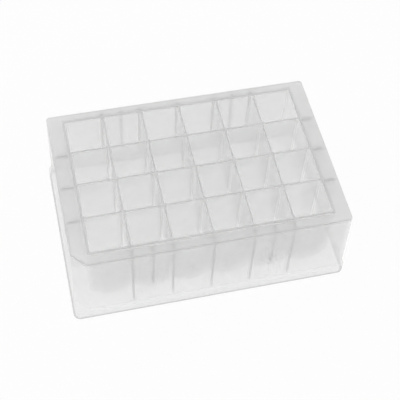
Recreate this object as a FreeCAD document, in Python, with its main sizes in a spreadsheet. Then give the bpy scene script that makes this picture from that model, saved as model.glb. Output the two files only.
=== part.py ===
import FreeCAD, Part
import math
import os

import Sketcher

# Deep-well plate: four rows of six square wells hang from a deck, inside a drafted skirt on a stacking foot.
# Frame: millimetres, +Z up, origin at the centre of the foot's underside, +X along the long side,
# and the cut corner at -X, -Y. Rows run from a at the back to d at the front, columns from left to right.

ROWS = "abcd"
COLUMNS = 6
INSIDE_PANELS = 8
UNDERSIDE_PANELS = 4

DRIVING_SIZES = {
    "well_pitch": 18.0,
    "partition": 1.0,
    "well_draft": 0.4,
    "rim_wall": 1.4,
    "rim_height": 44.0,
    "well_base": 6.7,
    "well_floor": 1.2,
    "dome_radius": 12.0,
    "deck_drop": 0.8,
    "deck_thickness": 1.2,
    "deck_side": 6.8,
    "deck_front": 4.15,
    "cut_corner": 6.2,
    "skirt_wall": 1.2,
    "skirt_corner": 1.5,
    "side_flare": 0.93,
    "front_flare": 0.44,
    "foot_step": 1.25,
    "foot_height": 5.3,
    "foot_wall": 1.2,
    "foot_corner": 3.2,
    "shoulder": 1.2,
    "edge_break": 0.3,
    "rib_root": 1.3,
    "rib_tip": 0.8,
    "half_rib_end": 17.5,
}

# Lengths that follow from the driving sizes.
HALF_CELL = "sizes.well_pitch / 2"
WELL_MOUTH = "(sizes.well_pitch - sizes.partition)"
WELL_ROOT = f"({WELL_MOUTH} - 2 * sizes.well_draft)"
EDGE_REACH = f"({WELL_MOUTH} / 2 + sizes.rim_wall)"
DOME_CENTRE = "(sizes.well_base + sizes.dome_radius)"
DECK_TOP = "(sizes.rim_height - sizes.deck_drop)"
DECK_UNDER = f"({DECK_TOP} - sizes.deck_thickness)"
RECESS_DEPTH = "(sizes.foot_height - sizes.shoulder)"
INNER_CUT = "(sizes.cut_corner - (2 - sqrt(2)) * sizes.skirt_wall)"

# Distances from the middle of the plate, along X and along Y.
AXES = ("x", "y")
BLOCK_HALF = {
    "x": f"(sizes.well_pitch * {(COLUMNS - 1) / 2} + {EDGE_REACH})",
    "y": f"(sizes.well_pitch * {(len(ROWS) - 1) / 2} + {EDGE_REACH})",
}
DECK_HALF = {"x": f"({BLOCK_HALF['x']} + sizes.deck_side)", "y": f"({BLOCK_HALF['y']} + sizes.deck_front)"}
SKIRT_HALF = {"x": f"({DECK_HALF['x']} + sizes.side_flare)", "y": f"({DECK_HALF['y']} + sizes.front_flare)"}
FOOT_HALF = {axis: f"({SKIRT_HALF[axis]} + sizes.foot_step)" for axis in AXES}

# Numbers that constraints use for the points of a line or arc and for the axes of a sketch.
# The sketch origin is the start point of the horizontal axis.
START, END, CENTRE = 1, 2, 3
HORIZONTAL_AXIS, VERTICAL_AXIS = -1, -2
ON_AXIS = "0"
NEAR = 0.001

document = FreeCAD.newDocument("deep_well_plate")
sizes = document.addObject("Spreadsheet::Sheet", "sizes")
for line, (alias, value) in enumerate(DRIVING_SIZES.items(), start=1):
    sizes.set(f"A{line}", alias)
    sizes.set(f"B{line}", str(value))
    sizes.setAlias(f"B{line}", alias)
document.recompute()


def value_of(expression):
    return float(sizes.evalExpression(expression))


def new_body(label):
    body = document.addObject("PartDesign::Body", label)
    body.Label = label
    return body


def origin_feature(body, role):
    return next(item for item in body.Origin.OriginFeatures if item.Role == role)


def new_sketch(body, name, role="XY_Plane", height=None):
    sketch = body.newObject("Sketcher::SketchObject", name)
    sketch.AttachmentSupport = (origin_feature(body, role), [""])
    sketch.MapMode = "FlatFace"
    if height:
        sketch.setExpression("AttachmentOffset.Base.z", height)
    return sketch


def pin_point(sketch, line, point, x, y):
    """Hold one point of a sketch at a place given by two expressions from the sketch origin."""
    for kind, axis, expression in (("DistanceX", VERTICAL_AXIS, x), ("DistanceY", HORIZONTAL_AXIS, y)):
        if expression == ON_AXIS:
            sketch.addConstraint(Sketcher.Constraint("PointOnObject", line, point, axis))
            continue
        distance = Sketcher.Constraint(kind, HORIZONTAL_AXIS, START, line, point, value_of(expression))
        number = sketch.addConstraint(distance)
        sketch.setExpression(f"Constraints[{number}]", expression)


def draw_corners(sketch, corners, construction=False):
    """Closed outline of straight lines through corners that are pairs of expressions."""
    points = [FreeCAD.Vector(value_of(x), value_of(y), 0) for x, y in corners]
    pairs = zip(points, points[1:] + points[:1])
    lines = [sketch.addGeometry(Part.LineSegment(*ends), construction) for ends in pairs]
    for line, next_line in zip(lines, lines[1:] + lines[:1]):
        sketch.addConstraint(Sketcher.Constraint("Coincident", line, END, next_line, START))
    for line, (x, y) in zip(lines, corners):
        pin_point(sketch, line, START, x, y)
    return points, lines


def corner_arc(before, corner, after, radius):
    """Arc that rounds a left-hand corner and touches the lines on both sides of it."""
    incoming = (corner - before).normalize()
    outgoing = (after - corner).normalize()
    turn = incoming.getAngle(outgoing)
    touch = corner - incoming * radius * math.tan(turn / 2)
    centre = touch + FreeCAD.Vector(-incoming.y, incoming.x, 0) * radius
    first = math.atan2(touch.y - centre.y, touch.x - centre.x)
    return Part.ArcOfCircle(Part.Circle(centre, FreeCAD.Vector(0, 0, 1), radius), first, first + turn)


def draw_rounded(sketch, corners, radius):
    """Outline with its corners rounded, held on a construction outline with the sharp corners."""
    points, guides = draw_corners(sketch, corners, construction=True)
    around = zip(points[-1:] + points[:-1], points, points[1:] + points[:1])
    shapes = [corner_arc(*three, value_of(radius)) for three in around]
    arcs = [sketch.addGeometry(shape) for shape in shapes]
    for place, guide in enumerate(guides):
        arc = arcs[place]
        next_arc = arcs[(place + 1) % len(arcs)]
        ends = (shapes[place].EndPoint, shapes[(place + 1) % len(arcs)].StartPoint)
        line = sketch.addGeometry(Part.LineSegment(*ends))
        sketch.addConstraint(Sketcher.Constraint("PointOnObject", line, START, guide))
        sketch.addConstraint(Sketcher.Constraint("PointOnObject", line, END, guide))
        sketch.addConstraint(Sketcher.Constraint("Tangent", arc, END, line, START))
        sketch.addConstraint(Sketcher.Constraint("Tangent", line, END, next_arc, START))
        number = sketch.addConstraint(Sketcher.Constraint("Radius", arc, value_of(radius)))
        sketch.setExpression(f"Constraints[{number}]", radius)


def rectangle(half_length, half_width):
    return [
        (f"-({half_length})", f"-({half_width})"),
        (half_length, f"-({half_width})"),
        (half_length, half_width),
        (f"-({half_length})", half_width),
    ]


def centred_square(side):
    return (f"-{side} / 2", f"{side} / 2") * 2


def cut_rectangle(half_length, half_width, cut):
    """Rectangle whose corner at -X, -Y is cut off straight."""
    return [
        (f"-({half_length})", f"{cut} - ({half_width})"),
        (f"{cut} - ({half_length})", f"-({half_width})"),
    ] + rectangle(half_length, half_width)[1:]


def draw_below_arch(sketch, radius):
    """Section of everything under an arch that sags from the height of its centre."""
    centre = FreeCAD.Vector(0, value_of(DOME_CENTRE), 0)
    circle = Part.Circle(centre, FreeCAD.Vector(0, 0, 1), value_of(radius))
    sag = Part.ArcOfCircle(circle, math.pi, 2 * math.pi)
    arc = sketch.addGeometry(sag)
    number = sketch.addConstraint(Sketcher.Constraint("Radius", arc, value_of(radius)))
    sketch.setExpression(f"Constraints[{number}]", radius)
    pin_point(sketch, arc, CENTRE, ON_AXIS, DOME_CENTRE)
    for end in (START, END):
        sketch.addConstraint(Sketcher.Constraint("Horizontal", arc, end, arc, CENTRE))
    corners = [
        ("sizes.well_pitch", DOME_CENTRE),
        ("sizes.well_pitch", "-sizes.well_floor"),
        ("-sizes.well_pitch", "-sizes.well_floor"),
        ("-sizes.well_pitch", DOME_CENTRE),
    ]
    points = [FreeCAD.Vector(value_of(x), value_of(y), 0) for x, y in corners]
    path = [sag.EndPoint, *points, sag.StartPoint]
    lines = [sketch.addGeometry(Part.LineSegment(*ends)) for ends in zip(path, path[1:])]
    for line, next_line in zip([arc, *lines], [*lines, arc]):
        sketch.addConstraint(Sketcher.Constraint("Coincident", line, END, next_line, START))
    for line, (x, y) in zip(lines, corners):
        pin_point(sketch, line, END, x, y)


def add_pad(body, sketch, length):
    pad = body.newObject("PartDesign::Pad", "pad")
    pad.Profile = sketch
    pad.setExpression("Length", length)
    return pad


def add_pocket_up(body, sketch, length):
    pocket = body.newObject("PartDesign::Pocket", "pocket")
    pocket.Profile = sketch
    pocket.Reversed = True
    pocket.setExpression("Length", length)
    return pocket


def add_vault(body, radius, panels):
    """Round the lower end of a body with arched cuts, turned about the upright axis into a vault."""
    arch = new_sketch(body, "arch", role="XZ_Plane")
    draw_below_arch(arch, radius)
    cut = body.newObject("PartDesign::Pocket", "arched_cut")
    cut.Profile = arch
    cut.SideType = "Symmetric"
    cut.setExpression("Length", "2 * sizes.well_pitch")
    document.recompute()
    vault = body.newObject("PartDesign::PolarPattern", "vault")
    vault.Originals = [cut]
    vault.Axis = (origin_feature(body, "Z_Axis"), [""])
    vault.Occurrences = panels // 2
    vault.Angle = 180 - 360 / panels
    body.Tip = vault
    return vault


def add_taper(body, low, high, lower_box, upper_box):
    """Straight-sided block between two heights, from one rectangle below to another above."""
    taper = body.newObject("PartDesign::AdditiveWedge", "taper")
    taper.setExpression("Ymin", low)
    taper.setExpression("Ymax", high)
    for prefix, box in (("", lower_box), ("2", upper_box)):
        limits = (f"X{prefix}min", f"X{prefix}max", f"Z{prefix}min", f"Z{prefix}max")
        for limit, expression in zip(limits, box):
            taper.setExpression(limit, expression)
    taper.Placement = FreeCAD.Placement(FreeCAD.Vector(), FreeCAD.Rotation(FreeCAD.Vector(1, 0, 0), 90))
    return taper


def add_loft(body, kind, lower, upper):
    loft = body.newObject(f"PartDesign::{kind}Loft", "loft")
    loft.Profile = lower
    loft.Sections = [upper]
    loft.Ruled = True
    return loft


def add_edge_break(body, feature, height):
    """Bevel every edge of a feature that lies at one height."""
    document.recompute()
    level = value_of(height)
    boxes = [edge.BoundBox for edge in feature.Shape.Edges]
    names = [f"Edge{number}" for number, box in enumerate(boxes, start=1) if abs(box.ZMin - level) < NEAR]
    bevel = body.newObject("PartDesign::Chamfer", "bevel")
    bevel.Base = (feature, names)
    bevel.setExpression("Size", "sizes.edge_break")
    return bevel


def inset_sides(half, inset):
    return [f"({half[axis]} - {inset})" for axis in AXES]


def make_foot_flange():
    """Foot that stands proud of the skirt, with a recess that drops over the deck of a plate beneath."""
    body = new_body("foot_flange")
    outside = new_sketch(body, "foot_outside")
    draw_rounded(outside, rectangle(*FOOT_HALF.values()), "sizes.foot_corner")
    pad = add_pad(body, outside, "sizes.foot_height")
    add_edge_break(body, pad, "sizes.foot_height")
    recess = new_sketch(body, "foot_recess")
    recess_outline = rectangle(*inset_sides(FOOT_HALF, "sizes.foot_wall"))
    draw_rounded(recess, recess_outline, "(sizes.foot_corner - sizes.foot_wall)")
    add_pocket_up(body, recess, RECESS_DEPTH)
    opening = new_sketch(body, "foot_opening")
    draw_corners(opening, cut_rectangle(*inset_sides(SKIRT_HALF, "sizes.skirt_wall"), INNER_CUT))
    add_pocket_up(body, opening, "sizes.foot_height")
    return body


def make_skirt():
    """Drafted outer wall, from the shoulder of the foot up to the underside of the deck."""
    body = new_body("skirt")
    levels = (("lower", "sizes.foot_height", SKIRT_HALF), ("upper", DECK_UNDER, DECK_HALF))
    outside = []
    for level, height, half in levels:
        sketch = new_sketch(body, f"skirt_{level}", height=height)
        draw_rounded(sketch, cut_rectangle(*half.values(), "sizes.cut_corner"), "sizes.skirt_corner")
        outside.append(sketch)
    add_loft(body, "Additive", *outside)
    inside = []
    for level, height, half in levels:
        sketch = new_sketch(body, f"skirt_inside_{level}", height=height)
        draw_corners(sketch, cut_rectangle(*inset_sides(half, "sizes.skirt_wall"), INNER_CUT))
        inside.append(sketch)
    add_loft(body, "Subtractive", *inside)
    return body


def make_top_deck():
    """Flat frame that joins the rim of the wells to the top of the skirt."""
    body = new_body("top_deck")
    outside = new_sketch(body, "deck_outside", height=DECK_UNDER)
    draw_rounded(outside, cut_rectangle(*DECK_HALF.values(), "sizes.cut_corner"), "sizes.skirt_corner")
    pad = add_pad(body, outside, "sizes.deck_thickness")
    add_edge_break(body, pad, DECK_TOP)
    opening = new_sketch(body, "deck_opening", height=DECK_UNDER)
    draw_corners(opening, rectangle(*BLOCK_HALF.values()))
    add_pocket_up(body, opening, "sizes.deck_thickness")
    return body


def make_core_pin():
    """The inside of one well: a tapered square pin with a vaulted tip."""
    body = new_body("core_pin")
    add_taper(body, "0", "sizes.rim_height", centred_square(WELL_ROOT), centred_square(WELL_MOUTH))
    add_vault(body, "sizes.dome_radius", INSIDE_PANELS)
    return body


def make_cell_blank(column_place, row_place):
    """The outside of one well, which shares its walls with its neighbours and is thicker at the rim."""
    reach = {"inner": HALF_CELL, "edge": EDGE_REACH}
    left = reach["edge" if column_place == "left" else "inner"]
    right = reach["edge" if column_place == "right" else "inner"]
    front = reach["edge" if row_place == "front" else "inner"]
    back = reach["edge" if row_place == "back" else "inner"]
    body = new_body(f"cell_{row_place}_{column_place}")
    walls = new_sketch(body, "cell_walls")
    corners = [
        (f"-{left}", f"-{front}"),
        (right, f"-{front}"),
        (right, back),
        (f"-{left}", back),
    ]
    draw_corners(walls, corners)
    add_pad(body, walls, "sizes.rim_height")
    add_vault(body, "(sizes.dome_radius + sizes.well_floor)", UNDERSIDE_PANELS)
    return body


def place_along(number, count):
    """Side of the block that a row or column stands on, with its offset from the middle in pitches."""
    offset = number - (count - 1) / 2
    if number == 0:
        return "first", offset
    if number == count - 1:
        return "last", offset
    return "middle", offset


def make_wells():
    """Every well is the blank of its place in the block, hollowed by the same pin."""
    pin = make_core_pin()
    column_names = {"first": "left", "middle": "middle", "last": "right"}
    row_names = {"first": "back", "middle": "middle", "last": "front"}
    blanks = {}
    wells = []
    for row, letter in enumerate(ROWS):
        row_place, rows_forward = place_along(row, len(ROWS))
        for column in range(COLUMNS):
            column_place, columns_right = place_along(column, COLUMNS)
            key = (column_names[column_place], row_names[row_place])
            if key not in blanks:
                blanks[key] = make_cell_blank(*key)
            well = document.addObject("Part::Cut", f"well_{letter}{column + 1}")
            well.Base = blanks[key]
            well.Tool = pin
            well.setExpression("Placement.Base.x", f"sizes.well_pitch * {columns_right}")
            well.setExpression("Placement.Base.y", f"sizes.well_pitch * {-rows_forward}")
            wells.append(well)
    return wells


def skirt_inside(axis, height):
    """Distance from the middle to the inner face of the drafted skirt at one height."""
    climb = f"({height} - sizes.foot_height) / ({DECK_UNDER} - sizes.foot_height)"
    low, high = SKIRT_HALF[axis], DECK_HALF[axis]
    return f"({low} + ({high} - {low}) * {climb} - sizes.skirt_wall)"


def make_rib(label, outward, turn, along, end):
    """Upright web from the wells to the skirt, thick under the deck and thin at its free lower end."""
    body = new_body(label)
    inner = BLOCK_HALF[outward]
    lower = (inner, skirt_inside(outward, end), "-sizes.rib_tip / 2", "sizes.rib_tip / 2")
    upper = (inner, skirt_inside(outward, DECK_UNDER), "-sizes.rib_root / 2", "sizes.rib_root / 2")
    add_taper(body, end, DECK_UNDER, lower, upper)
    body.Placement.Rotation = FreeCAD.Rotation(FreeCAD.Vector(0, 0, 1), turn)
    sideways = "y" if outward == "x" else "x"
    body.setExpression(f"Placement.Base.{sideways}", f"sizes.well_pitch * {along}")
    return body


def make_ribs():
    """A full rib stands at each partition, and half ribs stand beside the second column from each end."""
    sides = (("right", "x", 0), ("back", "y", 90), ("left", "x", 180), ("front", "y", 270))
    ribs = []
    for side, outward, turn in sides:
        count = (len(ROWS) if outward == "x" else COLUMNS) - 1
        for number in range(count):
            along = number - (count - 1) / 2
            ribs.append(make_rib(f"{side}_rib_{number + 1}", outward, turn, along, "sizes.foot_height"))
        if outward == "y":
            second_column = (COLUMNS - 1) / 2 - 1
            for number, along in enumerate((-second_column, second_column), start=1):
                ribs.append(make_rib(f"{side}_half_rib_{number}", outward, turn, along, "sizes.half_rib_end"))
    return ribs


def check_model(parts):
    """Stop before anything is written if a feature failed, a cut missed or a piece isn't one sound solid."""
    for item in document.Objects:
        if "Invalid" in item.State or "Error" in item.State:
            raise RuntimeError(f"{item.Label} failed: {item.State}")
        if item.TypeId in ("PartDesign::Pocket", "PartDesign::PolarPattern", "PartDesign::SubtractiveLoft"):
            if item.Shape.Volume > item.BaseFeature.Shape.Volume - NEAR:
                raise RuntimeError(f"{item.Label} removes nothing")
    for part in parts:
        if part.Shape.isNull() or not part.Shape.isValid() or len(part.Shape.Solids) != 1:
            raise RuntimeError(f"{part.Label} isn't one sound solid")


parts = [make_foot_flange(), make_skirt(), make_top_deck(), *make_wells(), *make_ribs()]
document.recompute()
check_model(parts)
os.makedirs("parts", exist_ok=True)
for part in parts:
    part.Shape.exportStep(f"parts/{part.Label}.step")
print(len(parts), "pieces,", round(sum(part.Shape.Volume for part in parts)), "cubic millimetres")
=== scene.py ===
# %% [markdown]
# # A deep-well plate in frosted polypropylene
#
# The object is a block of 24 open square wells, four rows of six, with a flat deck round its rim, a
# drafted skirt, ribs between the skirt and the wells, one cut corner and a stepped foot. A press moulds
# it in one shot of natural polypropylene, a milky plastic that lets light through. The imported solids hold
# its true sizes. This lesson loads them as a fixed frame, makes the finished surfaces over them and
# dresses those in the plastic.

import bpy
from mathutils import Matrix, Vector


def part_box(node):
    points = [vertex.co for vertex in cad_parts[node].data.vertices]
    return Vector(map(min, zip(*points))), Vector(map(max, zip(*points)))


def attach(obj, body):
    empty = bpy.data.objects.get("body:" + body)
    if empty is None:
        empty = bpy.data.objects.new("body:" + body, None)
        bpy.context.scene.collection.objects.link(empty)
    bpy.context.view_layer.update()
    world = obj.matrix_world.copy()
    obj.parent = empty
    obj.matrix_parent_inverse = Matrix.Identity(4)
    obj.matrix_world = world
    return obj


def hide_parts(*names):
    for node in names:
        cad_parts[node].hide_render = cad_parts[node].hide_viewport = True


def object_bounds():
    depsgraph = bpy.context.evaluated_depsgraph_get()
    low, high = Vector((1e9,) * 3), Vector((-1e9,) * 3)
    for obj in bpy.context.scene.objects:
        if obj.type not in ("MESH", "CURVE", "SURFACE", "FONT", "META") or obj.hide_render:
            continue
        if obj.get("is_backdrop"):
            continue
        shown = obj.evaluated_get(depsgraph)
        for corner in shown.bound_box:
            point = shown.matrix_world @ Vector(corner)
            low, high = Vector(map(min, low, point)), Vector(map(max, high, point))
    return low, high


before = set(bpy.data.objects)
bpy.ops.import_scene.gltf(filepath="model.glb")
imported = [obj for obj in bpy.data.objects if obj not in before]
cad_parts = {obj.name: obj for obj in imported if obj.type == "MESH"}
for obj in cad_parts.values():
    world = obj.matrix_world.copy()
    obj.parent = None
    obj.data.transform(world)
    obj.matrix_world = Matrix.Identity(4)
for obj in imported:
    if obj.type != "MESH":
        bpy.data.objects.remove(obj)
cad_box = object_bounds()
print("solids in the frame:", len(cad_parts))

# %% Modules
import math

import bmesh
import bpy
from mathutils import Matrix, Vector

print("Blender", bpy.app.version_string)

# %% [markdown]
# ## Sizes
#
# Blender works in metres here, and a moulder works in millimetres. Heights and reaches are read from the
# boxes of the solids, so the finished surfaces lie on them and follow if the model changes. A box can't
# tell a wall thickness or a corner radius, so those few are written down as real sizes.

# %% Sizes read from the solids
MM = 0.001
ROWS = 4
COLUMNS = 6

well_low, well_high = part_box("well_b2")
corner_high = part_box("well_a6")[1]
deck_low, deck_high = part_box("top_deck")
skirt_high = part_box("skirt")[1]
foot_low, foot_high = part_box("foot_flange")
rib_low, rib_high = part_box("front_rib_1")
half_rib_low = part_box("front_half_rib_1")[0]

PITCH = well_high.x - well_low.x
RIM_HEIGHT = well_high.z
BLOCK_HALF = corner_high.xy
DECK_HALF = deck_high.xy
SKIRT_HALF = skirt_high.xy
FOOT_HALF = foot_high.xy
RIB_ROOT = rib_high.x - rib_low.x

print("plate (mm):", [round(length / MM, 2) for length in 2 * FOOT_HALF], "by", round(RIM_HEIGHT / MM, 2))
print("wells:", ROWS * COLUMNS, "at a pitch of", round(PITCH / MM, 2), "mm")

# %% Sizes that a box can't tell
# The seam is a hair's breadth that keeps faces which touch from lying in one another.
PARTITION = 1.0 * MM
WELL_DRAFT = 0.4 * MM
WELL_CORNER = 0.9 * MM
DOME_RADIUS = 12.0 * MM
WELL_FLOOR = 1.2 * MM
FLOOR_FILLET = 1.6 * MM
RIM_CORNER = 0.8 * MM
WALL = 1.2 * MM
CUT_CORNER = 6.2 * MM
SKIRT_CORNER = 1.5 * MM
INNER_CORNER = 0.5 * MM
FOOT_CORNER = 3.2 * MM
SHOULDER = 1.2 * MM
RIB_TIP = 0.8 * MM
EDGE_RADIUS = 0.3 * MM
LIP_RADIUS = 0.25 * MM
SEAM = 0.01 * MM

GRID_HALF = Vector((PITCH * COLUMNS / 2, PITCH * ROWS / 2))

print("grid of wells (mm):", [round(length / MM, 2) for length in 2 * GRID_HALF])

# %% [markdown]
# ## Natural polypropylene, moulded
#
# Without pigment this plastic is neither clear nor white. Small crystals in it scatter the light, so a
# thin wall shows what lies behind it through a haze, and a place where one looks along a wall, such as
# the top of a partition or the end of a rib, is dense and a little grey. Glass that truly bends light
# through some forty thin walls would need very long renders and still come out dark. So each face is a
# thin sheet of haze instead: part of the light goes straight through, and the rest is spread, most of it
# to the far side, as frosted film does.
#
# How dense the haze is depends on how much plastic lies behind the face. Each face carries that length as
# a number, and the share of clear light falls off with it as it does in any cloudy medium. A long way is
# greyer too, because a little light is lost in it. On lips, flat tops, outer edges and rib ends the
# length is set to draw a dense grey line. That line is partly this loss and partly painted shade,
# which stays on those faces from every side.

# %% A helper for node trees


def add_node(tree, kind, settings=None, inputs=None):
    """Add one node. Settings are its own properties; inputs are plain values or the sockets to link from."""
    node = tree.nodes.new(kind)
    for name, value in (settings or {}).items():
        setattr(node, name, value)
    for name, value in (inputs or {}).items():
        if isinstance(value, bpy.types.NodeSocket):
            tree.links.new(value, node.inputs[name])
        else:
            node.inputs[name].default_value = value
    return node


def empty_material(name):
    material = bpy.data.materials.new(name)
    material.use_nodes = True
    material.node_tree.nodes.clear()
    return material


print("a node is added by one function:", add_node.__name__)

# %% Colours
SRGB_KNEE = 0.04045
WHITE = "#FFFFFF"


def linear(code):
    """Turn an sRGB hex colour such as #E8EAEA into the linear numbers that shaders use."""
    channels = [int(code[place:place + 2], 16) / 255 for place in (1, 3, 5)]
    return [c / 12.92 if c <= SRGB_KNEE else ((c + 0.055) / 1.055) ** 2.4 for c in channels] + [1.0]


print("mid grey in linear numbers:", round(linear("#808080")[0], 3))

# %% Haze that grows with the plastic behind a face
# The melt cools unevenly as it flows, which leaves the haze slightly cloudy over some millimetres. The
# noise that draws the clouds keeps to the middle of its range.
PLASTIC_BEHIND = "plastic_behind"
HAZE_LENGTH = 1.4 * MM
CLOUD_SIZE = 14.0 * MM
CLOUD_DETAIL = 2.0
CLOUD_LEAST = 0.93
CLOUD_MOST = 1.07
NOISE_LOW = 0.3
NOISE_HIGH = 0.7


def falling_share(tree, length, rate):
    """What is left after a length of plastic: e to the power of the length times a negative rate."""
    power = add_node(tree, "ShaderNodeMath", {"operation": "MULTIPLY"}, {0: length, 1: rate})
    share = add_node(tree, "ShaderNodeMath", {"operation": "EXPONENT"}, {0: power.outputs["Value"]})
    return share.outputs["Value"]


def clear_share(tree, length, coordinates):
    """The share of light that goes straight through the haze."""
    clouds = add_node(tree, "ShaderNodeTexNoise", inputs={
        "Vector": coordinates,
        "Scale": 1 / CLOUD_SIZE,
        "Detail": CLOUD_DETAIL,
    })
    density = add_node(tree, "ShaderNodeMapRange", inputs={
        "Value": clouds.outputs["Fac"],
        "From Min": NOISE_LOW,
        "From Max": NOISE_HIGH,
        "To Min": -CLOUD_LEAST / HAZE_LENGTH,
        "To Max": -CLOUD_MOST / HAZE_LENGTH,
    })
    return falling_share(tree, length, density.outputs["Result"])


print("a wall of 1 mm lets through:", round(math.exp(-1.0 * MM / HAZE_LENGTH), 2))

# %% The moulded plastic
# The mould was spark-eroded, which leaves a fine matt grain. The real grain is about 0.1 mm wide, too
# fine to show at this distance, so it is drawn six times as coarse. It gives the eye a soft, broken
# gloss. An index of refraction of 1.49 turns back about 4 % of the light at a face, and the share of the
# gloss is set near that. Of the light that the haze spreads, a quarter comes back and the rest goes on.
THIN_COLOUR = "#F4F4F4"
# The dense grey is partly light lost on a long way and partly painted shade for the lines along walls.
DENSE_SHADE_COLOUR = "#909090"
GREYING_LENGTH = 20.0 * MM
GRAIN_SIZE = 0.6 * MM
GRAIN_DETAIL = 1.0
GRAIN_DEPTH = 0.01 * MM
GRAIN_STRENGTH = 0.3
LEAST_ROUGH = 0.25
MOST_ROUGH = 0.5
GLOSS_SHARE = 0.03
REFLECTED_SHARE = 0.25
# A Mix node has sockets for every kind of value, and these are the numbers of those for colours.
MIX_FIRST = 6
MIX_SECOND = 7
MIX_RESULT = 2


def make_polypropylene():
    material = empty_material("natural_polypropylene_moulded")
    tree = material.node_tree
    place = add_node(tree, "ShaderNodeTexCoord")
    length = add_node(tree, "ShaderNodeAttribute", {"attribute_name": PLASTIC_BEHIND}).outputs["Fac"]
    share = clear_share(tree, length, place.outputs["Object"])
    colour = add_node(tree, "ShaderNodeMix", {"data_type": "RGBA"}, {
        "Factor": falling_share(tree, length, -1 / GREYING_LENGTH),
        MIX_FIRST: linear(DENSE_SHADE_COLOUR),
        MIX_SECOND: linear(THIN_COLOUR),
    })
    grain = add_node(tree, "ShaderNodeTexNoise", inputs={
        "Vector": place.outputs["Object"],
        "Scale": 1 / GRAIN_SIZE,
        "Detail": GRAIN_DETAIL,
    })
    bump = add_node(tree, "ShaderNodeBump", inputs={
        "Strength": GRAIN_STRENGTH,
        "Distance": GRAIN_DEPTH,
        "Height": grain.outputs["Fac"],
    })
    matt = add_node(tree, "ShaderNodeMapRange", inputs={
        "Value": grain.outputs["Fac"],
        "To Min": LEAST_ROUGH,
        "To Max": MOST_ROUGH,
    })
    passed = add_node(tree, "ShaderNodeBsdfTranslucent", inputs={
        "Color": colour.outputs[MIX_RESULT],
        "Normal": bump.outputs["Normal"],
    })
    returned = add_node(tree, "ShaderNodeBsdfDiffuse", inputs={
        "Color": colour.outputs[MIX_RESULT],
        "Normal": bump.outputs["Normal"],
    })
    haze = add_node(tree, "ShaderNodeMixShader", inputs={
        0: REFLECTED_SHARE,
        1: passed.outputs["BSDF"],
        2: returned.outputs["BSDF"],
    })
    clear = add_node(tree, "ShaderNodeBsdfTransparent")
    sheet = add_node(tree, "ShaderNodeMixShader", inputs={
        0: share,
        1: haze.outputs["Shader"],
        2: clear.outputs["BSDF"],
    })
    gloss = add_node(tree, "ShaderNodeBsdfAnisotropic", inputs={
        "Color": linear(WHITE),
        "Roughness": matt.outputs["Result"],
        "Normal": bump.outputs["Normal"],
    })
    plastic = add_node(tree, "ShaderNodeMixShader", inputs={
        0: GLOSS_SHARE,
        1: sheet.outputs["Shader"],
        2: gloss.outputs["BSDF"],
    })
    add_node(tree, "ShaderNodeOutputMaterial", inputs={"Surface": plastic.outputs["Shader"]})
    return material


polypropylene = make_polypropylene()
print("material:", polypropylene.name, "with", len(polypropylene.node_tree.nodes), "nodes")

# %% [markdown]
# ## One well
#
# A well is a tapered square shaft with softly rounded corners and a bowl for a floor, left by one core
# pin of the mould. Cutting 24 pins from a block with booleans would leave long thin faces, which show in
# a plastic that one sees through. So one cell of the block is woven from rings instead: each ring is a
# square with rounded corners, and the next ring lies a little lower or further in. Every ring has the
# same number of points, so neighbours join in plain four-sided faces.

# %% Rings of points
SIDE_STEPS = 6
CORNER_STEPS = 6
QUARTERS = 4
LIP_STEPS = 3


def quarter_of_square(half, corner, sharp):
    """One right-hand side and its upper corner, either rounded or running into the sharp corner."""
    reach = half - corner
    points = [Vector((half, -reach + 2 * reach * step / SIDE_STEPS)) for step in range(SIDE_STEPS)]
    for step in range(CORNER_STEPS):
        along = step / CORNER_STEPS
        if sharp:
            rise = min(2 * along, 1) * corner
            back = max(2 * along - 1, 0) * corner
            points.append(Vector((half - back, reach + rise)))
        else:
            angle = along * math.pi / 2
            points.append(Vector((reach + corner * math.cos(angle), reach + corner * math.sin(angle))))
    return points


def square_ring(half, corner, sharp=False):
    """Points round a square, in order, the same number for every square."""
    quarter = quarter_of_square(half, corner, sharp)
    turns = [Matrix.Rotation(math.pi / 2 * number, 2) for number in range(QUARTERS)]
    return [turn @ point for turn in turns for point in quarter]


def at_height(ring, height):
    return [Vector((point.x, point.y, height)) for point in ring]


def on_bowl(ring, radius, centre_height):
    """The same ring, dropped onto the inside of a ball."""
    drops = [math.sqrt(radius ** 2 - point.xy.length_squared) for point in ring]
    return [Vector((*point.xy, centre_height - drop)) for point, drop in zip(ring, drops)]


def roll(step):
    """How far in and how far down a rounded edge is at one step of its quarter turn."""
    angle = math.pi / 2 * step / LIP_STEPS
    return 1 - math.sin(angle), 1 - math.cos(angle)


print("points in a ring:", len(square_ring(PITCH / 2, WELL_CORNER)))

# %% Weaving rings into a sheet


def new_sheet():
    """An empty sheet to weave on, whose faces note the length of plastic behind them."""
    sheet = bmesh.new()
    sheet.faces.layers.float.new(PLASTIC_BEHIND)
    return sheet


def add_face(sheet, corners, behind):
    face = sheet.faces.new(corners)
    face[sheet.faces.layers.float[PLASTIC_BEHIND]] = behind


def join_loops(sheet, loop, next_loop, behind):
    """Join two loops. The plastic behind the faces is one length, or a list with one for each face."""
    lengths = behind if isinstance(behind, list) else [behind] * len(loop)
    for place, length in enumerate(lengths):
        following = (place + 1) % len(loop)
        add_face(sheet, (loop[place], loop[following], next_loop[following], next_loop[place]), length)


def weave(sheet, bands, closed=False):
    """Join each ring to the next. A band is a ring and the plastic behind the faces that follow it."""
    loops = [[sheet.verts.new(point) for point in ring] for ring, _ in bands]
    following = loops[1:] + loops[:1] * closed
    for loop, next_loop, (_, behind) in zip(loops, following, bands):
        join_loops(sheet, loop, next_loop, behind)
    return loops


def close_pole(sheet, loop, behind):
    """Fill the last small ring with a fan of triangles round its middle."""
    middle = sum((vertex.co for vertex in loop), Vector()) / len(loop)
    centre = sheet.verts.new(middle)
    for place, vertex in enumerate(loop):
        add_face(sheet, (vertex, loop[(place + 1) % len(loop)], centre), behind)


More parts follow.
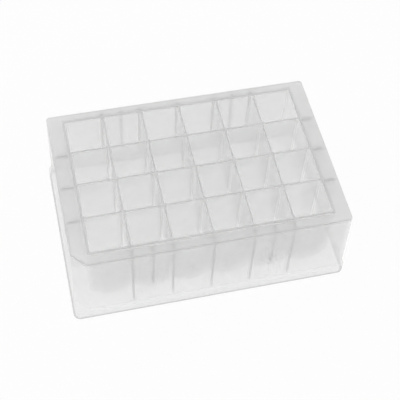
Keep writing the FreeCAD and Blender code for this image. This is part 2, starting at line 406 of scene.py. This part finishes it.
def mesh_from(sheet, name):
    """Turn a finished sheet into a mesh whose faces point out of the plastic."""
    bmesh.ops.recalc_face_normals(sheet, faces=sheet.faces)
    mesh = bpy.data.meshes.new(name)
    sheet.to_mesh(mesh)
    sheet.free()
    return mesh


print("each face carries:", PLASTIC_BEHIND)

# %% [markdown]
# The top sheet of a cell starts at the middle of the partitions, rolls over the lip, runs down the
# tapered walls, turns through a fillet into the bowl and ends at its lowest point. The second sheet is
# the underside, a larger ball on the same centre, so the floor is of even thickness. The two sheets stay
# apart here, because the plastic between them runs on into the neighbours.
#
# A wall has two faces, so each of them takes half of its thickness. In the corners four walls meet, so
# there is more plastic. The floor is given far less haze than its thickness would have, so the white card
# shows through it and the wells look lightest low down, which is painted light from below. The lip and
# the flat top look down into the partition. They take some millimetres of it, which is enough to draw a
# dense line, and that line is painted shade.

# %% The cell of one well
FILLET_STEPS = 4
BOWL_STEPS = 6
UNDERSIDE_STEPS = 8
# The long way on the lip and the flat top draws a dense line of painted shade.
LONG_WAY = 2.6 * MM
CORNER_PLASTIC = 1.0 * MM
# The clear floor lets the white card show and lightens the bottoms of the wells: painted light.
CLEAR_FLOOR = 0.35 * MM
DOME_CENTRE = well_low.z + WELL_FLOOR + DOME_RADIUS
MOUTH_HALF = (PITCH - PARTITION) / 2


def lip_rings():
    """Quarter round from the flat top of the partition into the well."""
    rings = []
    for step in range(LIP_STEPS + 1):
        outward, drop = (LIP_RADIUS * share for share in roll(step))
        rings.append(at_height(square_ring(MOUTH_HALF + outward, WELL_CORNER), RIM_HEIGHT - drop))
    return rings


def shaft_half(height):
    return MOUTH_HALF - WELL_DRAFT * (1 - height / RIM_HEIGHT)


def fillet_rings(wall_ring, foot_ring):
    """Round the corner between the shaft's walls and the bowl."""
    rings = []
    for step in range(FILLET_STEPS + 1):
        share = step / FILLET_STEPS
        ring = []
        for above, corner in zip(wall_ring, foot_ring):
            start = corner + (above - corner).normalized() * FLOOR_FILLET
            inward = corner.xy * (1 - FLOOR_FILLET / corner.xy.length)
            end = on_bowl([inward], DOME_RADIUS, DOME_CENTRE)[0]
            ring.append(start.lerp(corner, share).lerp(corner.lerp(end, share), share))
        rings.append(ring)
    return rings


def bowl_rings(first_ring):
    rings = []
    for step in range(1, BOWL_STEPS):
        share = 1 - step / BOWL_STEPS
        rings.append(on_bowl([point * share for point in first_ring], DOME_RADIUS, DOME_CENTRE))
    return rings


def underside_rings():
    """From the lowest point out to the middle of the partitions."""
    outer = square_ring(PITCH / 2, WELL_CORNER, sharp=True)
    shares = [step / UNDERSIDE_STEPS for step in range(1, UNDERSIDE_STEPS + 1)]
    rings = [[point * share for point in outer] for share in shares]
    return [on_bowl(ring, DOME_RADIUS + WELL_FLOOR, DOME_CENTRE) for ring in rings]


def make_cell():
    sheet = new_sheet()
    top_edge = at_height(square_ring(PITCH / 2, WELL_CORNER, sharp=True), RIM_HEIGHT)
    *lip, mouth = lip_rings()
    foot_half = shaft_half(DOME_CENTRE - math.sqrt(DOME_RADIUS ** 2 - MOUTH_HALF ** 2))
    foot = on_bowl(square_ring(foot_half, WELL_CORNER), DOME_RADIUS, DOME_CENTRE)
    fillet = fillet_rings(mouth, foot)
    bands = [(ring, LONG_WAY) for ring in (top_edge, *lip)]
    walls = ([PARTITION / 2] * SIDE_STEPS + [CORNER_PLASTIC] * CORNER_STEPS) * QUARTERS
    bands.append((mouth, walls))
    bands.extend((ring, CLEAR_FLOOR) for ring in (*fillet, *bowl_rings(fillet[-1])))
    close_pole(sheet, weave(sheet, bands)[-1], CLEAR_FLOOR)
    underside = weave(sheet, [(ring, CLEAR_FLOOR) for ring in underside_rings()])
    close_pole(sheet, underside[0], CLEAR_FLOOR)
    return mesh_from(sheet, "cell")


cell = bpy.data.objects.new("cell", make_cell())
print("faces in one cell:", len(cell.data.polygons))

# %% [markdown]
# ## The block of wells
#
# Twenty-four cells side by side make the block. Copying them by hand would work, but a node tree says the
# rule itself: a grid of points, one cell on each, then every pair of points that meet is merged, so the
# partitions become single walls. A later change to the pitch or the count is then one number.

# %% Growing a piece from a node tree


def new_geometry_tree(name, inputs):
    """Start a tree with named inputs, and give back the tree and the node that holds them."""
    tree = bpy.data.node_groups.new(name, "GeometryNodeTree")
    tree.interface.new_socket("Geometry", in_out="OUTPUT", socket_type="NodeSocketGeometry")
    for label, kind in inputs.items():
        tree.interface.new_socket(label, in_out="INPUT", socket_type=f"NodeSocket{kind}")
    return tree, add_node(tree, "NodeGroupInput")


def grow(name, tree, values):
    """Run a tree on an empty object and keep what it makes as a plain mesh."""
    piece = bpy.data.objects.new(name, bpy.data.meshes.new(name))
    bpy.context.collection.objects.link(piece)
    modifier = piece.modifiers.new(tree.name, "NODES")
    modifier.node_group = tree
    sockets = [item for item in tree.interface.items_tree if item.in_out == "INPUT"]
    for socket in sockets:
        modifier[socket.identifier] = values[socket.name]
    grown = piece.evaluated_get(bpy.context.evaluated_depsgraph_get())
    piece.data = bpy.data.meshes.new_from_object(grown)
    piece.modifiers.remove(modifier)
    return piece


print("a tree is grown into a plain mesh by:", grow.__name__)

# %% The grid of cells
MERGE_DISTANCE = 0.001 * MM


def make_grid_tree():
    sizes = {"Cell": "Object", "Pitch": "Float", "Columns": "Int", "Rows": "Int", "Plastic": "Material"}
    tree, given = new_geometry_tree("cells_on_a_grid", sizes)
    spans = []
    for count in ("Columns", "Rows"):
        gaps = add_node(tree, "ShaderNodeMath", {"operation": "SUBTRACT"}, {0: given.outputs[count], 1: 1.0})
        span = add_node(tree, "ShaderNodeMath", {"operation": "MULTIPLY"}, {
            0: gaps.outputs["Value"],
            1: given.outputs["Pitch"],
        })
        spans.append(span.outputs["Value"])
    grid = add_node(tree, "GeometryNodeMeshGrid", inputs={
        "Size X": spans[0],
        "Size Y": spans[1],
        "Vertices X": given.outputs["Columns"],
        "Vertices Y": given.outputs["Rows"],
    })
    shape = add_node(tree, "GeometryNodeObjectInfo", inputs={"Object": given.outputs["Cell"]})
    cells = add_node(tree, "GeometryNodeInstanceOnPoints", inputs={
        "Points": grid.outputs["Mesh"],
        "Instance": shape.outputs["Geometry"],
    })
    real = add_node(tree, "GeometryNodeRealizeInstances", inputs={"Geometry": cells.outputs["Instances"]})
    merged = add_node(tree, "GeometryNodeMergeByDistance", inputs={
        "Geometry": real.outputs["Geometry"],
        "Distance": MERGE_DISTANCE,
    })
    finished = add_node(tree, "GeometryNodeSetMaterial", inputs={
        "Geometry": merged.outputs["Geometry"],
        "Material": given.outputs["Plastic"],
    })
    add_node(tree, "NodeGroupOutput", inputs={"Geometry": finished.outputs["Geometry"]})
    return tree


bpy.context.collection.objects.link(cell)
well_block = grow("well_block", make_grid_tree(), {
    "Cell": cell,
    "Pitch": PITCH,
    "Columns": COLUMNS,
    "Rows": ROWS,
    "Plastic": polypropylene,
})
bpy.data.objects.remove(cell)
print("faces in the grid of cells:", len(well_block.data.polygons))

# %% [markdown]
# The grid still ends in open borders halfway through its outermost walls. The rim closes them: the upper
# border moves out to the face of the rim, rolls over its edge and drops to the lower border. Its flat top
# and its lips look down the wall, so they are dense as well, and their dense grey line is painted shade.

# %% The rim round the block
NEAR = 0.01 * MM
RIM_FLAT = 4.0 * MM


def ordered_border(edges):
    """Vertices of one open border, from the back right corner and forwards along the right side."""
    neighbours = {}
    for edge in edges:
        for vertex in edge.verts:
            neighbours.setdefault(vertex, []).append(edge.other_vert(vertex))
    start = max(neighbours, key=lambda vertex: vertex.co.x + vertex.co.y)
    border = [start, min(neighbours[start], key=lambda vertex: vertex.co.y)]
    while True:
        following = next(vertex for vertex in neighbours[border[-1]] if vertex is not border[-2])
        if following is start:
            return border
        border.append(following)


def rim_point(point, half, corner, height):
    """Move a point of the grid's border out to the rim, and round the rim's four corners."""
    gap_x = GRID_HALF.x - abs(point.x)
    gap_y = GRID_HALF.y - abs(point.y)
    if max(gap_x, gap_y) < WELL_CORNER + NEAR:
        share = (1 - max(gap_x, gap_y) / WELL_CORNER) / 2
        angle = math.pi / 2 * (share if gap_x < gap_y else 1 - share)
        x = half.x - corner + corner * math.cos(angle)
        y = half.y - corner + corner * math.sin(angle)
    else:
        x = half.x if gap_x < NEAR else abs(point.x)
        y = half.y if gap_y < NEAR else abs(point.y)
    return Vector((math.copysign(x, point.x), math.copysign(y, point.y), height))


def close_rim(mesh):
    sheet = bmesh.new()
    sheet.from_mesh(mesh)
    plastic_slot = sheet.faces[:][0].material_index
    borders = [edge for edge in sheet.edges if edge.is_boundary]
    upper = ordered_border([edge for edge in borders if edge.verts[0].co.z > RIM_HEIGHT - NEAR])
    lower = ordered_border([edge for edge in borders if edge.verts[0].co.z <= RIM_HEIGHT - NEAR])
    loops = [upper]
    for step in range(LIP_STEPS + 1):
        back, drop = (LIP_RADIUS * share for share in roll(step))
        half = BLOCK_HALF - Vector((back, back))
        ring = [rim_point(vertex.co, half, RIM_CORNER - back, RIM_HEIGHT - drop) for vertex in upper]
        loops.append([sheet.verts.new(point) for point in ring])
    for vertex in lower:
        vertex.co = rim_point(vertex.co, BLOCK_HALF, RIM_CORNER, vertex.co.z)
    loops.append(lower)
    # Painted shade: the long lengths on the flat top and the lips draw a dense grey line round the rim.
    behind = [RIM_FLAT] + [LONG_WAY] * LIP_STEPS + [PARTITION / 2]
    for loop, next_loop, length in zip(loops, loops[1:], behind):
        join_loops(sheet, loop, next_loop, length)
    for face in sheet.faces:
        face.material_index = plastic_slot
    bmesh.ops.recalc_face_normals(sheet, faces=sheet.faces)
    print("open edges left in the block:", sum(edge.is_boundary for edge in sheet.edges))
    sheet.to_mesh(mesh)
    sheet.free()


close_rim(well_block.data)
print("faces in the block of wells:", len(well_block.data.polygons))

# %% [markdown]
# ## Deck, skirt and foot
#
# The deck is the flat frame round the rim. The skirt hangs from its outer edge, leans out a little so
# that the moulding leaves the mould, and stands on the foot, a low step that fits over the rim of another
# plate. All three follow the same outline: a rectangle with rounded corners, one of them cut off to show
# which well is the first. Extruding profiles would do, but the outline changes from the cut corner of the
# skirt to the whole corner of the foot. Rings with a fixed number of points, woven like the wells, can
# change shape on the way.

# %% Outlines of the plate
CORNER_ARC_STEPS = 6
CUT_ARC_STEPS = 3


def corner_arc(before, corner, after, radius, steps):
    """Points on the arc that rounds one corner of an outline."""
    incoming = (corner - before).normalized()
    outgoing = (after - corner).normalized()
    turn = incoming.angle_signed(outgoing, 0.0)
    tangent = radius * math.tan(abs(turn) / 2)
    first = corner - incoming * tangent
    side = Vector((-incoming.y, incoming.x))
    centre = first + side * radius
    spoke = first - centre
    return [centre + Matrix.Rotation(abs(turn) * step / steps, 2) @ spoke for step in range(steps + 1)]


def outline(half, corner, cut=0.0):
    """Points round the plate, the same number with and without the cut corner at the front left."""
    front_left = [Vector((-half.x, -half.y))]
    steps = [2 * CUT_ARC_STEPS + 1]
    if cut:
        front_left = [Vector((-half.x, cut - half.y)), Vector((cut - half.x, -half.y))]
        steps = [CUT_ARC_STEPS] * 2
    corners = front_left + [Vector((half.x, -half.y)), Vector((half.x, half.y)), Vector((-half.x, half.y))]
    steps = steps + [CORNER_ARC_STEPS] * 3
    points = []
    for place, amount in enumerate(steps):
        after = corners[(place + 1) % len(corners)]
        points.extend(corner_arc(corners[place - 1], corners[place], after, corner, amount))
    return points


def inset(half, amount):
    return half - Vector((amount, amount))


cut_outline = outline(DECK_HALF, SKIRT_CORNER, CUT_CORNER)
print("points in an outline:", len(outline(FOOT_HALF, FOOT_CORNER)), "whole,", len(cut_outline), "cut")

# %% Rounded edges and woven pieces


def rounded_edge(half, corner, cut, height, inward, upward):
    """Rings that roll from a level face over an edge into an upright face."""
    rings = []
    for step in range(LIP_STEPS + 1):
        back, drop = (EDGE_RADIUS * share for share in roll(step))
        ring = outline(inset(half, inward * back), corner - inward * back, cut)
        rings.append(at_height(ring, height - upward * drop))
    return rings


def woven_piece(name, bands):
    sheet = new_sheet()
    weave(sheet, bands, closed=True)
    piece = bpy.data.objects.new(name, mesh_from(sheet, name))
    bpy.context.collection.objects.link(piece)
    piece.data.materials.append(polypropylene)
    print(name, "has", len(piece.data.polygons), "faces")
    return piece


print("steps in a rounded edge:", LIP_STEPS)

# %% [markdown]
# The moulding has no joint between deck, skirt and foot, so the faces where they meet hold no plastic of
# their own: their number is zero and they can't be seen. The top face of the deck holds the haze of the
# whole deck and its underside none, so that the ribs below show through. The outer edge of the deck looks
# into its width, and the underside of the foot up its wall, so both draw a dense line. Both lines are
# painted shade, and the one on the foot runs along the base of the plate.

# %% The deck
NO_PLASTIC = 0.0
DECK_HAZE = 1.8 * MM
# The deck's outer edge takes a long length, which draws a line of painted shade.
DECK_EDGE = 3.0 * MM
INNER_CUT = CUT_CORNER - (2 - math.sqrt(2)) * WALL


def make_deck():
    hole = outline(BLOCK_HALF + Vector((SEAM, SEAM)), RIM_CORNER)
    edge = rounded_edge(DECK_HALF, SKIRT_CORNER, CUT_CORNER, deck_high.z, 1, 1)
    return woven_piece("top_deck_finish", [
        (at_height(hole, deck_high.z), DECK_HAZE),
        *[(ring, DECK_EDGE) for ring in edge],
        (at_height(cut_outline, deck_low.z), NO_PLASTIC),
        (at_height(hole, deck_low.z), NO_PLASTIC),
    ])


deck = make_deck()

# %% The skirt
# Each face of a wall takes half of its thickness, here as in the wells.
HALF_WALL = WALL / 2


def make_skirt():
    low = foot_high.z + SEAM
    high = deck_low.z - SEAM
    return woven_piece("skirt_finish", [
        (at_height(outline(SKIRT_HALF, SKIRT_CORNER, CUT_CORNER), low), HALF_WALL),
        (at_height(cut_outline, high), NO_PLASTIC),
        (at_height(outline(inset(DECK_HALF, WALL), INNER_CORNER, INNER_CUT), high), HALF_WALL),
        (at_height(outline(inset(SKIRT_HALF, WALL), INNER_CORNER, INNER_CUT), low), NO_PLASTIC),
    ])


skirt = make_skirt()

# %% The foot
# The foot's rounded bottom edge takes a long length, which draws a line of painted shade along the base.
FOOT_EDGE = 8.0 * MM


def make_foot():
    opening = outline(inset(SKIRT_HALF, WALL), INNER_CORNER, INNER_CUT)
    skirt_line = outline(SKIRT_HALF, SKIRT_CORNER, CUT_CORNER)
    recess_half = inset(FOOT_HALF, WALL)
    recess_corner = FOOT_CORNER - WALL
    recess_top = foot_high.z - SHOULDER
    top_edge = rounded_edge(FOOT_HALF, FOOT_CORNER, 0.0, foot_high.z, 1, 1)
    bottom_edge = rounded_edge(FOOT_HALF, FOOT_CORNER, 0.0, foot_low.z, 1, -1)[::-1]
    *inner_edge, recess_start = rounded_edge(recess_half, recess_corner, 0.0, foot_low.z, -1, -1)
    return woven_piece("foot_flange_finish", [
        (at_height(opening, foot_high.z), NO_PLASTIC),
        (at_height(skirt_line, foot_high.z), HALF_WALL),
        *[(ring, HALF_WALL) for ring in top_edge],
        *[(ring, FOOT_EDGE) for ring in bottom_edge],
        *[(ring, HALF_WALL) for ring in inner_edge],
        (recess_start, HALF_WALL),
        (at_height(outline(recess_half, recess_corner), recess_top), HALF_WALL),
        (at_height(opening, recess_top), HALF_WALL),
    ])


foot = make_foot()

# %% [markdown]
# ## Ribs
#
# Thin upright webs tie the skirt to the block of wells, one at each partition, with four short ones
# beside the second and fifth columns. They taper downwards, because the mould has to draw out of them.
# Seen from outside, only the end of a rib shows well: there one looks along the web, so each rib is a
# fine dark line through the skirt and a faint tick through the deck. A short rib stops halfway, and there
# its lower end shows as a dot. These lines, ticks and dots are painted shade that stays on those faces from
# every side. A row of ribs is one rule, so a node tree sets them out.

# %% The shape of a rib
# These are the lengths that one looks into at the outer end, the top and the lower end of a short rib.
# The dark lines, ticks and dots that these lengths draw are painted shade.
RIB_END = 3.0 * MM
RIB_TOP = 12.0 * MM
RIB_LENGTH = 25.0 * MM


def skirt_inside(axis, height):
    climb = (height - foot_high.z) / (deck_low.z - foot_high.z)
    return SKIRT_HALF[axis] + (DECK_HALF[axis] - SKIRT_HALF[axis]) * climb - WALL


def make_rib(axis, end, end_plastic):
    """One upright web, drawn at the right-hand side, thick under the deck and thin at its lower end."""
    sheet = new_sheet()
    loops = []
    for height, thickness in ((end, RIB_TIP), (deck_low.z - SEAM, RIB_ROOT)):
        near = BLOCK_HALF[axis] + SEAM
        far = skirt_inside(axis, height) - SEAM
        half = thickness / 2
        corners = ((near, -half), (far, -half), (far, half), (near, half))
        loops.append([sheet.verts.new((x, y, height)) for x, y in corners])
    low, high = loops
    for place, behind in enumerate((RIB_TIP / 2, RIB_END, RIB_TIP / 2, NO_PLASTIC)):
        following = (place + 1) % len(low)
        add_face(sheet, (low[place], low[following], high[following], high[place]), behind)
    add_face(sheet, low, end_plastic)
    add_face(sheet, high, RIB_TOP)
    rib = bpy.data.objects.new("rib", mesh_from(sheet, "rib"))
    bpy.context.collection.objects.link(rib)
    return rib


print("a rib is", round(RIB_ROOT / MM, 2), "mm thick at its root and", round(RIB_TIP / MM, 2), "at its tip")

# %% A row of ribs


def make_row_tree():
    sizes = {"Rib": "Object", "Spacing": "Float", "Count": "Int", "Turn": "Float", "Plastic": "Material"}
    tree, given = new_geometry_tree("ribs_in_a_row", sizes)
    gaps = add_node(tree, "ShaderNodeMath", {"operation": "SUBTRACT"}, {0: given.outputs["Count"], 1: 1.0})
    reach = add_node(tree, "ShaderNodeMath", {"operation": "MULTIPLY"}, {
        0: gaps.outputs["Value"],
        1: given.outputs["Spacing"],
    })
    start = add_node(tree, "ShaderNodeMath", {"operation": "MULTIPLY"}, {0: reach.outputs["Value"], 1: -0.5})
    first = add_node(tree, "ShaderNodeCombineXYZ", inputs={"Y": start.outputs["Value"]})
    stride = add_node(tree, "ShaderNodeCombineXYZ", inputs={"Y": given.outputs["Spacing"]})
    row = add_node(tree, "GeometryNodeMeshLine", inputs={
        "Count": given.outputs["Count"],
        "Start Location": first.outputs["Vector"],
        "Offset": stride.outputs["Vector"],
    })
    shape = add_node(tree, "GeometryNodeObjectInfo", inputs={"Object": given.outputs["Rib"]})
    ribs = add_node(tree, "GeometryNodeInstanceOnPoints", inputs={
        "Points": row.outputs["Mesh"],
        "Instance": shape.outputs["Geometry"],
    })
    angles = add_node(tree, "ShaderNodeCombineXYZ", inputs={"Z": given.outputs["Turn"]})
    turned = add_node(tree, "GeometryNodeTransform", inputs={
        "Geometry": ribs.outputs["Instances"],
        "Rotation": angles.outputs["Vector"],
    })
    real = add_node(tree, "GeometryNodeRealizeInstances", inputs={"Geometry": turned.outputs["Geometry"]})
    finished = add_node(tree, "GeometryNodeSetMaterial", inputs={
        "Geometry": real.outputs["Geometry"],
        "Material": given.outputs["Plastic"],
    })
    add_node(tree, "NodeGroupOutput", inputs={"Geometry": finished.outputs["Geometry"]})
    return tree


row_tree = make_row_tree()
print("tree:", row_tree.name)

# %% Ribs on the four sides
# Each side has the axis that it faces and its turn, in degrees, from the right-hand side. The short ribs
# stand at the second column from either end.
SIDES = {"right": (0, 0), "back": (1, 90), "left": (0, 180), "front": (1, 270)}
HALF_RIBS = 2
HALF_RIB_SPACING = PITCH * (COLUMNS - 3)
rib_pieces = []


def add_row(side, kind, end, end_plastic, spacing, count):
    axis, turn = SIDES[side]
    rib = make_rib(axis, end, end_plastic)
    row = grow(f"{side}_{kind}s", row_tree, {
        "Rib": rib,
        "Spacing": spacing,
        "Count": count,
        "Turn": math.radians(turn),
        "Plastic": polypropylene,
    })
    bpy.data.objects.remove(rib)
    rib_pieces.append((row, [f"{side}_{kind}_{number + 1}" for number in range(count)]))


for side, (axis, _) in SIDES.items():
    add_row(side, "rib", rib_low.z, RIB_TIP / 2, PITCH, (ROWS, COLUMNS)[axis] - 1)
    if axis == 1:
        add_row(side, "half_rib", half_rib_low.z, RIB_LENGTH, HALF_RIB_SPACING, HALF_RIBS)

print("rows of ribs:", [row.name for row, _ in rib_pieces])

# %% [markdown]
# ## Onto the frame
#
# Round edges should look round and the flat faces beside them flat. Plain smooth shading bends the flats
# near every small lip, so the normals are weighted by the area of their faces. Then each piece is hung on
# the body it rides on, and the solids that it stands for are hidden.

# %% Shading and riding
SMOOTH_LIMIT = math.radians(50)


def even_shading(piece):
    """Shade round edges smoothly while the flat faces beside them stay flat."""
    piece.data.shade_smooth()
    piece.data.set_sharp_from_angle(angle=SMOOTH_LIMIT)
    modifier = piece.modifiers.new("even_shading", "WEIGHTED_NORMAL")
    modifier.keep_sharp = True
    shaded = piece.evaluated_get(bpy.context.evaluated_depsgraph_get())
    piece.data = bpy.data.meshes.new_from_object(shaded)
    piece.modifiers.remove(modifier)


wells = [f"well_{row}{column + 1}" for row in "abcd" for column in range(COLUMNS)]
pieces = [
    (well_block, wells),
    (deck, ["top_deck"]),
    (skirt, ["skirt"]),
    (foot, ["foot_flange"]),
    *rib_pieces,
]
for piece, nodes in pieces:
    even_shading(piece)
    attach(piece, "root")
    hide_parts(*nodes)

print("pieces:", len(pieces), "for", sum(len(nodes) for _, nodes in pieces), "solids")

# %% [markdown]
# ## A white studio
#
# The plate lies on white card in an even, soft light that is brighter from the sides than from above. A
# photograph of such a thing is exposed until the card is white, and more light here would wash the
# plastic out. So the card shows white only to rays that reach the eye: straight, in the gloss, or through
# the plastic. A part of it stays plain and keeps the shadow. Light that the haze spreads counts as going
# through, so the white of the card also lights the plastic from below. That is why the wells are lightest
# low down, and why the plate would look darker on another floor.

# %% White card for the floor
FLOOR_HALF = 2.0
WHITE_SHARE = 0.95
CARD_COLOUR = "#F2F2F2"


def rays_that_show(tree):
    """One for rays that reach the eye straight, in the gloss or through the plastic, and zero for others."""
    rays = add_node(tree, "ShaderNodeLightPath")
    shown = rays.outputs["Is Camera Ray"]
    for kind in ("Is Glossy Ray", "Is Transmission Ray"):
        wider = add_node(tree, "ShaderNodeMath", {"operation": "MAXIMUM"}, {0: shown, 1: rays.outputs[kind]})
        shown = wider.outputs["Value"]
    return shown


def make_white_card():
    """Uncoated white card: an even matt white."""
    material = empty_material("white_card_uncoated")
    # Rays that are aimed at a lamp find this card dark, which would dim its white, so none are aimed at it.
    material.cycles.emission_sampling = "NONE"
    tree = material.node_tree
    card = add_node(tree, "ShaderNodeBsdfDiffuse", inputs={"Color": linear(CARD_COLOUR)})
    glow = add_node(tree, "ShaderNodeEmission", inputs={"Color": linear(WHITE), "Strength": 1.0})
    share = add_node(tree, "ShaderNodeMath", {"operation": "MULTIPLY"}, {
        0: rays_that_show(tree),
        1: WHITE_SHARE,
    })
    mix = add_node(tree, "ShaderNodeMixShader", inputs={
        0: share.outputs["Value"],
        1: card.outputs["BSDF"],
        2: glow.outputs["Emission"],
    })
    add_node(tree, "ShaderNodeOutputMaterial", inputs={"Surface": mix.outputs["Shader"]})
    return material


def make_floor():
    sheet = bmesh.new()
    under = Matrix.Translation((0, 0, -SEAM))
    bmesh.ops.create_grid(sheet, x_segments=1, y_segments=1, size=FLOOR_HALF, matrix=under)
    floor = bpy.data.objects.new("floor", mesh_from(sheet, "floor"))
    bpy.context.collection.objects.link(floor)
    floor.data.materials.append(make_white_card())
    floor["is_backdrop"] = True


make_floor()
print("floor (m):", 2 * FLOOR_HALF, "square")

# %% Soft light from all round
HORIZON_LIGHT = 1.1
ZENITH_LIGHT = 0.55


def make_world():
    world = bpy.data.worlds.new("studio")
    world.use_nodes = True
    tree = world.node_tree
    tree.nodes.clear()
    direction = add_node(tree, "ShaderNodeTexCoord")
    height = add_node(tree, "ShaderNodeSeparateXYZ", inputs={"Vector": direction.outputs["Generated"]})
    fall = add_node(tree, "ShaderNodeMapRange", inputs={
        "Value": height.outputs["Z"],
        "To Min": HORIZON_LIGHT,
        "To Max": ZENITH_LIGHT,
    })
    # Whatever light the room gives, it shows white behind the plate.
    rays = add_node(tree, "ShaderNodeLightPath")
    strength = add_node(tree, "ShaderNodeMath", {"operation": "MAXIMUM"}, {
        0: fall.outputs["Result"],
        1: rays.outputs["Is Camera Ray"],
    })
    soft = add_node(tree, "ShaderNodeBackground", inputs={
        "Color": linear(WHITE),
        "Strength": strength.outputs["Value"],
    })
    add_node(tree, "ShaderNodeOutputWorld", inputs={"Surface": soft.outputs["Background"]})
    bpy.context.scene.world = world


make_world()
print("light at the horizon and overhead:", HORIZON_LIGHT, ZENITH_LIGHT)

# %% A softbox at the left
SOFTBOX_PLACE = Vector((-0.6, 0.2, 0.35))
SOFTBOX_SIZE = 0.5
SOFTBOX_WATTS = 0.5


def add_softbox():
    light = bpy.data.lights.new("left_softbox", "AREA")
    light.shape = "SQUARE"
    light.size = SOFTBOX_SIZE
    light.energy = SOFTBOX_WATTS
    lamp = bpy.data.objects.new("left_softbox", light)
    lamp.location = SOFTBOX_PLACE
    lamp.rotation_euler = (-SOFTBOX_PLACE).to_track_quat("-Z", "Y").to_euler()
    bpy.context.collection.objects.link(lamp)


add_softbox()
print("softbox (m):", SOFTBOX_SIZE, "at", list(SOFTBOX_PLACE))

# %% [markdown]
# ## Camera
#
# The camera looks down from the front, a little to the left. Its place, turn and lens were found by
# matching corners of the plate, whose sizes are known, with where they lie in the picture.

# %% Camera
CAMERA_PLACE = Vector((-68.362, -248.689, 388.428)) * MM
CAMERA_AZIMUTH = math.radians(-16.09)
CAMERA_ELEVATION = math.radians(55.19)
CAMERA_ROLL = math.radians(3.95)
FOCAL_LENGTH = 86.15
SENSOR_WIDTH = 36.0


def make_camera():
    back = Vector((
        math.sin(CAMERA_AZIMUTH) * math.cos(CAMERA_ELEVATION),
        -math.cos(CAMERA_AZIMUTH) * math.cos(CAMERA_ELEVATION),
        math.sin(CAMERA_ELEVATION),
    ))
    level = (-back).cross(Vector((0, 0, 1))).normalized()
    upright = level.cross(-back)
    right = level * math.cos(CAMERA_ROLL) + upright * math.sin(CAMERA_ROLL)
    up = upright * math.cos(CAMERA_ROLL) - level * math.sin(CAMERA_ROLL)
    data = bpy.data.cameras.new("camera")
    data.lens = FOCAL_LENGTH
    data.sensor_width = SENSOR_WIDTH
    camera = bpy.data.objects.new("camera", data)
    camera.matrix_world = Matrix.Translation(CAMERA_PLACE) @ Matrix((right, up, back)).transposed().to_4x4()
    bpy.context.collection.objects.link(camera)
    bpy.context.scene.camera = camera


make_camera()
print("camera (mm):", [round(length / MM) for length in CAMERA_PLACE], "with a lens of", FOCAL_LENGTH, "mm")

# %% [markdown]
# ## Light paths
#
# A look across the plate crosses dozens of thin walls. The usual limits would stop a ray halfway and
# leave it black, so the limits on passing through are raised. Colours are shown as they are written.

# %% Limits for light paths
scene = bpy.context.scene
scene.view_settings.view_transform = "Standard"
scene.cycles.max_bounces = 32
scene.cycles.transmission_bounces = 32
scene.cycles.diffuse_bounces = 6
scene.cycles.glossy_bounces = 8
scene.cycles.transparent_max_bounces = 64
print("walls that one look may cross:", scene.cycles.transparent_max_bounces)

# %% [markdown]
# ## Size
#
# The finish is meant to keep the size of the object. The box of the solids and the box of the finished
# pieces are set side by side, and the largest difference between them is printed.

# %% The two boxes
visual_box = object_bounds()
sizes = {"cad": [list(corner) for corner in cad_box], "visual": [list(corner) for corner in visual_box]}
pairs = zip(sum(sizes["cad"], []), sum(sizes["visual"], []))
print("largest difference (mm):", max(abs(cad - visual) for cad, visual in pairs) / MM)
